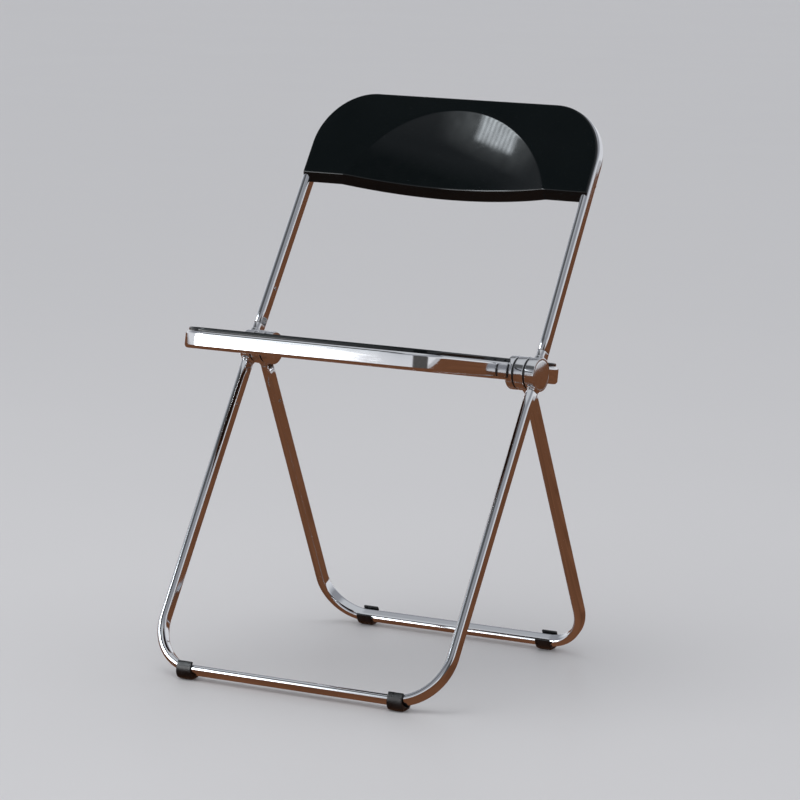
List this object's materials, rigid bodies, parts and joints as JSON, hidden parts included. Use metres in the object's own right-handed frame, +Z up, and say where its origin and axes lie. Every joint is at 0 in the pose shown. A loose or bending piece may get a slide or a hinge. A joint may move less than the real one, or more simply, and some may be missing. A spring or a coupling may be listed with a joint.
{
  "type": "folding chair",
  "caption": "Tubular folding chair: chromed flat-oval tube frames on three-disc hubs, ring seat with a glossy black panel, dished black backrest shell, rubber feet.",
  "frame": {"origin": "on the floor, at the centre of the chair's own box seen from above", "axes": "+Z up, -Y towards the chair's front, +X to the right as seen from the front; the hub axis runs along X"},
  "size_m": [0.4722, 0.4766, 0.7648],
  "materials": {
    "polished_chrome": "polished chromed flat-oval steel tube",
    "polished_casting": "polished light-alloy casting",
    "seat_rail": "polished cast seat ring",
    "black_shell": "glossy black moulded plastic",
    "black_rubber": "matte black rubber",
    "black_washer": "black low-friction plastic",
    "bright_steel": "bright zinc-plated steel"
  },
  "bodies": {
    "front_frame": {"back_hoop": "polished_chrome", "front_leg_hoop": "polished_chrome", "backrest_shell": "black_shell", "backrest_screws": "bright_steel", "back_hoop_rivets": "bright_steel", "front_leg_rivets": "bright_steel", "hub_outer_disc_r": "polished_casting", "hub_outer_disc_l": "polished_casting", "hub_cap_r": "polished_casting", "hub_cap_l": "polished_casting", "hub_axle_r": "bright_steel", "hub_axle_l": "bright_steel", "axle_nut_r": "bright_steel", "axle_nut_l": "bright_steel", "axle_spring_washer_r": "bright_steel", "axle_spring_washer_l": "bright_steel", "fold_stop_pin_r": "bright_steel", "fold_stop_pin_l": "bright_steel", "outer_hub_washer_r": "black_washer", "outer_hub_washer_l": "black_washer", "front_foot_r": "black_rubber", "front_foot_l": "black_rubber"},
    "rear_legs": {"rear_leg_hoop": "polished_chrome", "rear_leg_rivets": "bright_steel", "hub_middle_disc_r": "polished_casting", "hub_middle_disc_l": "polished_casting", "inner_hub_washer_r": "black_washer", "inner_hub_washer_l": "black_washer", "rear_foot_r": "black_rubber", "rear_foot_l": "black_rubber"},
    "seat": {"seat_frame": "seat_rail", "seat_panel": "black_shell", "seat_panel_screws": "bright_steel", "hub_inner_disc_screws": "bright_steel", "hub_inner_disc_r": "polished_casting", "hub_inner_disc_l": "polished_casting"}
  },
  "joints": [
    {"name": "seat_fold", "type": "hinge", "parent": "front_frame", "child": "seat", "pos_m": [0, 0.02246, 0.4205], "axis": [-1, 0, 0], "range_deg": [0, 111]},
    {"name": "leg_fold", "type": "hinge", "parent": "front_frame", "child": "rear_legs", "pos_m": [0, 0.02246, 0.4205], "axis": [-1, 0, 0], "range_deg": [0, 55.5]}
  ]
}
